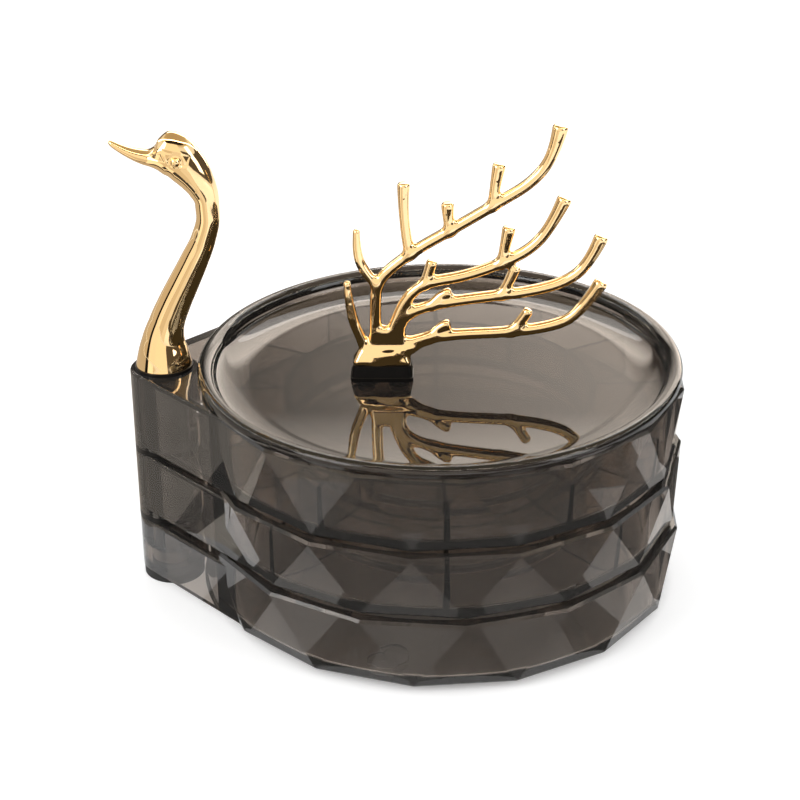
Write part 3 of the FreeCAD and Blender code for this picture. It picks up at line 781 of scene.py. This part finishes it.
# %% Neck stations
NECK_STATIONS = [
    (0.0, 0.0, 0, 8.6, 8.6), (0.0, 4.5, 0, 7.6, 7.6), (0.4, 8.8, -8, 6.4, 6.3), (1.8, 14.1, -19, 5.4, 5.4),
    (4.4, 20.3, -25, 5.0, 5.0), (7.9, 27.5, -26, 4.6, 4.6), (11.3, 34.5, -24, 4.2, 4.2),
    (14.2, 41.1, -17, 3.75, 3.75), (15.9, 48.2, -4, 3.55, 3.6), (15.8, 53.3, 19, 3.8, 3.8),
    (14.3, 58.4, 45, 4.9, 4.4), (11.8, 62.7, 62, 6.2, 4.9), (8.1, 66.6, 76, 7.3, 5.1),
    (4.7, 68.0, 84, 6.7, 4.7), (2.3, 67.7, 86, 4.9, 4.1), (0.7, 67.0, 82, 3.3, 3.4),
    (-1.1, 66.8, 77, 2.5, 2.8), (-3.4, 67.3, 71, 2.1, 2.5), (-6.6, 68.5, 66, 1.6, 2.1),
    (-9.4, 69.9, 62, 1.2, 1.6), (-11.4, 71.1, 62, 0.85, 1.1), (-12.2, 71.6, 62, 0.4, 0.5),
]


def steady_slopes(at, values):
    """Slope at each station, held back where the values turn so that the curve can't overshoot."""
    runs = np.diff(values) / np.diff(at)
    slopes = np.zeros_like(values)
    slopes[0], slopes[-1] = runs[0], runs[-1]
    same = runs[:-1] * runs[1:] > 0
    wide, narrow = np.diff(at)[1:], np.diff(at)[:-1]
    inner = np.zeros(len(values) - 2)
    a, b = (2 * wide + narrow)[same], (wide + 2 * narrow)[same]
    inner[same] = (a + b) / (a / runs[:-1][same] + b / runs[1:][same])
    slopes[1:-1] = inner
    return slopes


def blended(at, values, wanted):
    """Values of a smooth curve through stations."""
    slopes = steady_slopes(at, values)
    cell = np.clip(np.searchsorted(at, wanted) - 1, 0, len(at) - 2)
    width = at[cell + 1] - at[cell]
    t = (wanted - at[cell]) / width
    return ((1 + 2 * t) * (1 - t) ** 2 * values[cell] + t * (1 - t) ** 2 * width * slopes[cell]
            + t * t * (3 - 2 * t) * values[cell + 1] + t * t * (t - 1) * width * slopes[cell + 1])


print("stations:", len(NECK_STATIONS))

# %% [markdown]
# ### The carved face
# The maker cut a shallow flat panel round each eye, a wedge where the bill meets the cheek, and a ring round
# the eye. They are only a few tenths of a millimetre deep, but polished gold shows every edge. Each panel is
# a convex outline seen from the side; how far a point lies inside it says how deep it sinks.

# %% Carved face
PANEL = [(3.7, 70.7), (8.7, 69.8), (12.2, 68.5), (11.0, 65.3), (9.3, 65.3), (5.0, 66.7)]
WEDGE = [(-1.2, 67.9), (3.3, 69.5), (4.7, 66.5), (-0.8, 67.3)]
PANEL_DEPTH = 0.20
WEDGE_DEPTH = 0.26
STEP_WIDTH = 0.35
EYE_RING_R = 2.0
EYE_RING_DEPTH = 0.22
OUTSIDE = 99.0
eye_low, eye_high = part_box("swan_eye_front")
eye = ((eye_low + eye_high) / 2 - NECK_SEAT) / MM


def inside(outline, x, z):
    """How far each point lies inside a convex outline whose corners run clockwise."""
    depth = np.full(x.shape, OUTSIDE)
    for (ax, az), (bx, bz) in zip(outline, outline[1:] + outline[:1]):
        length = math.hypot(bx - ax, bz - az)
        depth = np.minimum(depth, ((bz - az) * (x - ax) - (bx - ax) * (z - az)) / length)
    return depth


def carved(x, z):
    """Depth in millimetres to which the side of the head is cut away."""
    panel = PANEL_DEPTH * np.clip(inside(PANEL, x, z) / STEP_WIDTH, 0.0, 1.0)
    wedge = WEDGE_DEPTH * np.clip(inside(WEDGE, x, z) / STEP_WIDTH, 0.0, 1.0)
    ring = np.abs(np.hypot(x - eye.x, z - eye.z) - EYE_RING_R)
    return panel + wedge + EYE_RING_DEPTH * np.clip(1.0 - ring / STEP_WIDTH, 0.0, 1.0)


print("eye above the neck's seat:", round(eye.z, 1), "mm")

# %% [markdown]
# ### The skin of the neck
# The rings lie so close that the carving has room for its edges. Each ring is an oval, tilted with the spine
# and pulled in sideways wherever the head is cut away.

# %% Build the neck
RINGS = 520
AROUND = 128
stations = np.array(NECK_STATIONS, dtype=float)
spine_at = np.concatenate([[0.0], np.cumsum(np.linalg.norm(np.diff(stations[:, :2], axis=0), axis=1))])
fine_at = np.linspace(0.0, spine_at[-1], RINGS)
along, rise, tilt, deep, wide = [blended(spine_at, stations[:, i], fine_at) for i in range(5)]
turn = np.linspace(0.0, 2 * math.pi, AROUND, endpoint=False)
lean = np.radians(tilt)[:, None]
depth = deep[:, None] * np.cos(turn)[None, :]
neck_x = along[:, None] + depth * np.cos(lean)
neck_z = rise[:, None] + depth * np.sin(lean)
neck_y = (wide[:, None] - carved(neck_x, neck_z)) * np.sin(turn)[None, :]
points, faces = ringed((np.stack([neck_x, neck_y, neck_z], axis=2) * MM + np.array(NECK_SEAT)).tolist())
neck = mesh_piece("swan_neck_cast", points, faces, gold, "swan_neck")
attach(neck, "base")
print("neck skin:", len(neck.data.vertices), "points")

# %% [markdown]
# ## Floor, light and background
# Catalogue pictures float on white. The floor is plain and pale and keeps the object's shadow. It glows a
# little for the rays that show it, and under the trays that glow is cut down to a painted shade, where hardly
# any light gets in.

# %% Floor
FLOOR_SIZE = 6.0
FLOOR_GLOW = 0.50
# Radius, fade and level of the painted shade under the trays
SHADE_R = 0.064
SHADE_FADE = 0.010
SHADE_LEVEL = 0.15


def pale_floor():
    """Pale floor, with a painted shade: its glow is cut down in a round patch under the trays."""
    finish = Finish("pale_floor")
    mottle = finish.noise(3.0, 2.0)
    reach = finish.node("ShaderNodeVectorMath", {"operation": "LENGTH"}, {0: finish.place()}, output=1)
    # Painted shade: inside the patch under the trays the glow drops to a share of itself
    beyond_painted_shade = ((reach - SHADE_R) * (1.0 / SHADE_FADE)).limited()
    seen = finish.shown() * (beyond_painted_shade * (1.0 - SHADE_LEVEL) + SHADE_LEVEL)
    finish.set(
        Base_Color=finish.between(mottle, (0.90, 0.90, 0.90, 1.0), (0.93, 0.93, 0.93, 1.0)),
        Roughness=0.9,
        Specular_IOR_Level=0.0,
        Emission_Color=finish.between(seen, (0.0, 0.0, 0.0, 1.0), (1.0, 1.0, 1.0, 1.0)),
        Emission_Strength=FLOOR_GLOW,
    )
    return finish.material


bpy.ops.mesh.primitive_plane_add(size=FLOOR_SIZE, location=STACK)
floor = bpy.context.object
floor.name = "floor"
floor.data.materials.append(pale_floor())
print("floor:", FLOOR_SIZE, "m wide")

# %% [markdown]
# ### World
# The world has two faces. Rays that show it, from the camera, in a reflection or through the plastic, meet
# bands that run from pale grey at the horizon through white to tan overhead, which warms the gold. All other
# rays gather an even, weaker white, so that the light on the object stays soft.

# %% World
world = bpy.data.worlds.new("studio")
scene.world = world
world.use_nodes = True


class Sky(Finish):
    """The same helper for the world's node tree."""

    def __init__(self, world):
        self.tree = world.node_tree
        self.tree.nodes.clear()
        self.output = self.tree.nodes.new("ShaderNodeOutputWorld")


sky = Sky(world)
direction = sky.node("ShaderNodeTexCoord", output="Generated")
upward = sky.node("ShaderNodeSeparateXYZ", None, {0: direction}, output=2)
bands = sky.node("ShaderNodeValToRGB", {"stops": [
    (0.0, (0.80, 0.80, 0.80, 1.0)), (0.25, (0.95, 0.95, 0.95, 1.0)), (0.50, (1.0, 1.0, 1.0, 1.0)),
    (0.66, (0.60, 0.49, 0.33, 1.0)), (1.0, (0.50, 0.41, 0.27, 1.0))]}, {"Fac": upward})
even = sky.node("ShaderNodeBackground", None, {"Color": (1.0, 1.0, 1.0, 1.0), "Strength": 0.55})
banded = sky.node("ShaderNodeBackground", None, {"Color": bands, "Strength": 1.0})
choice = sky.node("ShaderNodeMixShader", None, {0: sky.shown(), 1: even, 2: banded})
sky.plug(sky.output.inputs["Surface"], choice)
print("world:", world.name)

# %% [markdown]
# ### Lamps
# Three large soft boxes give the floor its faint shadow: a key from the front left, a fill from the right,
# and a wash from behind and above that reaches in through the smoky walls.

# %% Lamps
LAMP_AIM = STACK + Vector((0.0, 0.0, 0.06))


def softbox(name, offset, width, height, power):
    """A rectangular lamp at an offset from the middle of the trays, which it faces."""
    data = bpy.data.lights.new(name, "AREA")
    data.shape = "RECTANGLE"
    data.size = width
    data.size_y = height
    data.energy = power
    lamp = bpy.data.objects.new(name, data)
    lamp.location = LAMP_AIM + Vector(offset)
    lamp.rotation_euler = (-Vector(offset)).to_track_quat("-Z", "Y").to_euler()
    scene.collection.objects.link(lamp)


softbox("key_left", (-0.75, -0.55, 0.55), 0.5, 0.5, 3.0)
softbox("fill_right", (0.9, -0.5, 0.45), 0.4, 0.7, 2.5)
softbox("back_wash", (0.0, 1.0, 0.95), 1.2, 0.35, 3.0)
print("lamps ready")

# %% [markdown]
# ### Cards
# Polished gold and plastic are drawn by what they mirror, so a photographer stands black and white cards just
# outside the picture. These sheets are seen by glossy rays only: they shape the reflections and leave the
# light on the object alone. To a ray that has passed through plastic they are clear, which keeps the walls
# calm. A one-sided card is clear from behind as well.

# %% Card helper
def card(name, corners, faces, shade, strength=1.0, one_sided=False):
    """A sheet that only polished surfaces see. Its shade is a colour, or a function that wires one."""
    data = bpy.data.meshes.new(name)
    data.from_pydata(corners, [], faces)
    piece = bpy.data.objects.new(name, data)
    scene.collection.objects.link(piece)
    finish = Finish(name)
    finish.set(Base_Color=(0.0, 0.0, 0.0, 1.0), Roughness=1.0, Specular_IOR_Level=0.0,
               Emission_Color=shade(finish) if callable(shade) else shade, Emission_Strength=strength)
    hidden = finish.node("ShaderNodeLightPath", output="Transmission Depth")
    if one_sided:
        hidden = hidden + finish.node("ShaderNodeNewGeometry", output="Backfacing")
    lit, clear = Wire(finish, finish.surface.outputs[0]), finish.node("ShaderNodeBsdfTransparent")
    choice = finish.node("ShaderNodeMixShader", None, {0: hidden.limited(), 1: lit, 2: clear})
    finish.plug(finish.output.inputs["Surface"], choice)
    data.materials.append(finish.material)
    for ray in ("camera", "diffuse", "transmission", "shadow", "volume_scatter"):
        setattr(piece, "visible_" + ray, False)
    return piece


def strip(first, second):
    """Corners and faces of a ribbon between two lines of points."""
    count = len(first)
    return list(first) + list(second), [(i, i + 1, count + i + 1, count + i) for i in range(count - 1)]


def bearings(start, end, steps):
    """Angles from the camera's side, to the right of it when positive, in radians."""
    return [math.radians(start + (end - start) * i / steps) for i in range(steps + 1)]


def arc(centre, radius, start, end, steps, z):
    """Points at a height, on an arc about an upright axis."""
    angles = bearings(start, end, steps)
    return [(centre.x + radius * math.sin(b), centre.y - radius * math.cos(b), z) for b in angles]


print("card helper ready")

# %% [markdown]
# ### Cards on the floor
# The neck mirrors the floor all round the bolt, so that floor is laid out in sectors: tan behind on the left,
# a black gap that draws the dark line down the neck, and bright ones on the left and in front. The facets of
# the trays mirror a ring of floor close by, and that ring is painted with shade and light in sectors, a
# painted reflection that sets neighbouring facets apart. A dark disc just above the dish's floor is a painted
# dark reflection, which darkens what the underside of the rack mirrors.

# %% Cards on the floor
SECTOR_STEPS = 12
NECK_SECTORS = {
    "card_back_left": (-190.0, -77.0, 0.04, (0.62, 0.55, 0.47, 1.0)),
    "card_gap": (-77.0, -63.0, 0.04, (0.01, 0.01, 0.01, 1.0)),
    "card_left_bright": (-63.0, -40.0, 0.04, (1.35, 1.22, 1.06, 1.0)),
    "card_left": (-40.0, -13.0, 0.04, (0.80, 0.70, 0.58, 1.0)),
    "card_front_bright": (-13.0, 8.0, 0.09, (0.95, 0.88, 0.78, 1.0)),
}
NECK_SECTORS_END, NECK_SECTORS_UP = 1.5, 0.0004
# Levels of painted shade and light, one for each sector of the ring close round the trays
PAINTED_FLOOR_SHADES = [(-72, 0.06), (-54, 0.95), (-36, 0.05), (-18, 0.60), (0, 0.06), (18, 0.50), (36, 0.06),
                (54, 0.95), (72, 0.1), (90, 0.9), (108, 0.05), (126, 0.8)]
SHADE_ANGLE = 18.0
SHADES_NEAR, SHADES_FAR, SHADES_UP = 0.076, 0.185, 0.0008
DARK_NEAR, DARK_FAR, DARK_UP = 0.165, 0.235, 0.001
# Size and height of the dark disc of painted reflection over the dish's floor
DISC_R = 0.057
DISC_DROP = FLOOR_DROP - 0.25


def floor_sector(name, centre, start, end, near, far, shade, height):
    inner, outer = [arc(centre, radius, start, end, SECTOR_STEPS, height) for radius in (near, far)]
    card(name, *strip(inner, outer), shade)


for name, (start, end, near, shade) in NECK_SECTORS.items():
    floor_sector(name, PIVOT, start, end, near, NECK_SECTORS_END, shade, NECK_SECTORS_UP)
# Sectors of painted shade and light, seen only in reflections
for start, level in PAINTED_FLOOR_SHADES:
    name = "card_floor_" + str(start).replace("-", "m")
    shade = (level, level * 0.96, level * 0.92, 1.0)
    floor_sector(name, STACK, start, start + SHADE_ANGLE, SHADES_NEAR, SHADES_FAR, shade, SHADES_UP)
floor_sector("card_front_dark", STACK, -16.0, 75.0, DARK_NEAR, DARK_FAR, (0.07, 0.055, 0.04, 1.0), DARK_UP)
# A dark disc of painted reflection just above the dish's floor, which the underside of the rack mirrors
painted_dark_disc = circle(STACK.x, DISC_R, LAND_Z - DISC_DROP * MM, turns)
card("card_under_rack", painted_dark_disc, [tuple(range(SPIN))], (0.045, 0.036, 0.022, 1.0), one_sided=True)
print("sectors:", len(NECK_SECTORS) + len(PAINTED_FLOOR_SHADES) + 1)

# %% [markdown]
# ### Walls
# Upright cards stand in a wide circle round the bolt. They give the neck its long bands, from left to right:
# tan, the black slot, a bright side and front, and dark on the right. A dark card above the front ones keeps
# the crown of the head and the tops of the branches from washing out.

# %% Walls
WALL_R = 2.2
WALL_STEPS = 24
WALL_TOP = 1.0
FRONT_TOP = 2.1
HIGH_TOP = 3.5
WALLS = {
    "card_wall_tan": (-170.0, -77.0, 0.0, WALL_TOP, (0.66, 0.57, 0.47, 1.0)),
    "card_wall_slot": (-77.0, -64.0, 0.0, WALL_TOP, (0.01, 0.01, 0.01, 1.0)),
    "card_wall_left": (-64.0, -30.0, 0.0, WALL_TOP, (1.15, 1.04, 0.90, 1.0)),
    "card_wall_front": (-30.0, 20.0, 0.0, FRONT_TOP, (1.20, 1.08, 0.92, 1.0)),
    "card_wall_high": (-60.0, 60.0, FRONT_TOP, HIGH_TOP, (0.03, 0.025, 0.02, 1.0)),
    "card_wall_dark": (20.0, 190.0, 0.0, WALL_TOP, (0.10, 0.085, 0.07, 1.0)),
}
for name, (start, end, foot, top, shade) in WALLS.items():
    low, high = [arc(PIVOT, WALL_R, start, end, WALL_STEPS, z) for z in (foot, top)]
    card(name, *strip(low, high), shade)
print("walls:", len(WALLS))

# %% [markdown]
# ### The screen behind
# The floor of the dish mirrors what stands far behind the box. There a screen is dark on the left and bright
# on the right, with a brighter part above a soft edge, so that the dish shades from dark to light across.

# %% Screen
SCREEN_Y = 1.3
SCREEN_HALF = 1.1
SCREEN_LOW = 0.10
SCREEN_HIGH = 1.15
SCREEN_GLOW = 5.0
SHARE_MIDDLE = 0.27
SHARE_ACROSS = 0.95
UPPER_FROM, UPPER_FADE, UPPER_SHARE = 0.725, 0.07, 0.7
LOWER_FROM, LOWER_FADE, LOWER_SHARE = 0.665, 0.03, 0.12


def screen_shade(finish):
    """Brighter towards the right, much brighter above a soft edge and a little below another."""
    place = finish.node("ShaderNodeSeparateXYZ", None, {0: finish.place()})
    across, height = [Wire(finish, place.socket.node.outputs[i]) for i in (0, 2)]
    above = ((height - UPPER_FROM) * (1.0 / UPPER_FADE)).limited()
    below = ((LOWER_FROM - height) * (1.0 / LOWER_FADE)).limited()
    share = SHARE_MIDDLE + across * SHARE_ACROSS + above * UPPER_SHARE + below * LOWER_SHARE
    return finish.between(share.limited(), (0.02, 0.017, 0.014, 1.0), (1.0, 0.88, 0.76, 1.0))


low, high = [[(x, SCREEN_Y, z) for x in (-SCREEN_HALF, SCREEN_HALF)] for z in (SCREEN_LOW, SCREEN_HIGH)]
screen = card("card_screen", *strip(low, high), screen_shade, SCREEN_GLOW)
screen.location.x = STACK.x
print("screen:", 2 * SCREEN_HALF, "m wide")

# %% [markdown]
# ### The strip overhead
# The upper edge of each wall catches a fine light line. Where the camera's ray goes after such an edge is
# easy to work out, and a narrow strip is bent through exactly those places.

# %% Strip
ARCH_R = 1.6
ARCH_HALF = 0.07
ARCH_GLOW = 9.0
ARCH_SPAN = 70.0
ARCH_STEPS = 28


def edge_view(bearing):
    """Direction of the camera's ray after the upper edge of a wall at this bearing has mirrored it."""
    slope = math.sqrt(0.5)
    normal = Vector((math.sin(bearing) * slope, -math.cos(bearing) * slope, slope))
    return (2.0 * normal.dot(back) * normal - back).normalized()


arch = [STACK + edge_view(bearing) * ARCH_R for bearing in bearings(-ARCH_SPAN, ARCH_SPAN, ARCH_STEPS)]
near, far = [[tuple(p + Vector((0.0, y, 0.0))) for p in arch] for y in (-ARCH_HALF, ARCH_HALF)]
card("card_arch", *strip(near, far), (1.0, 0.86, 0.70, 1.0), ARCH_GLOW)
print("cards ready")
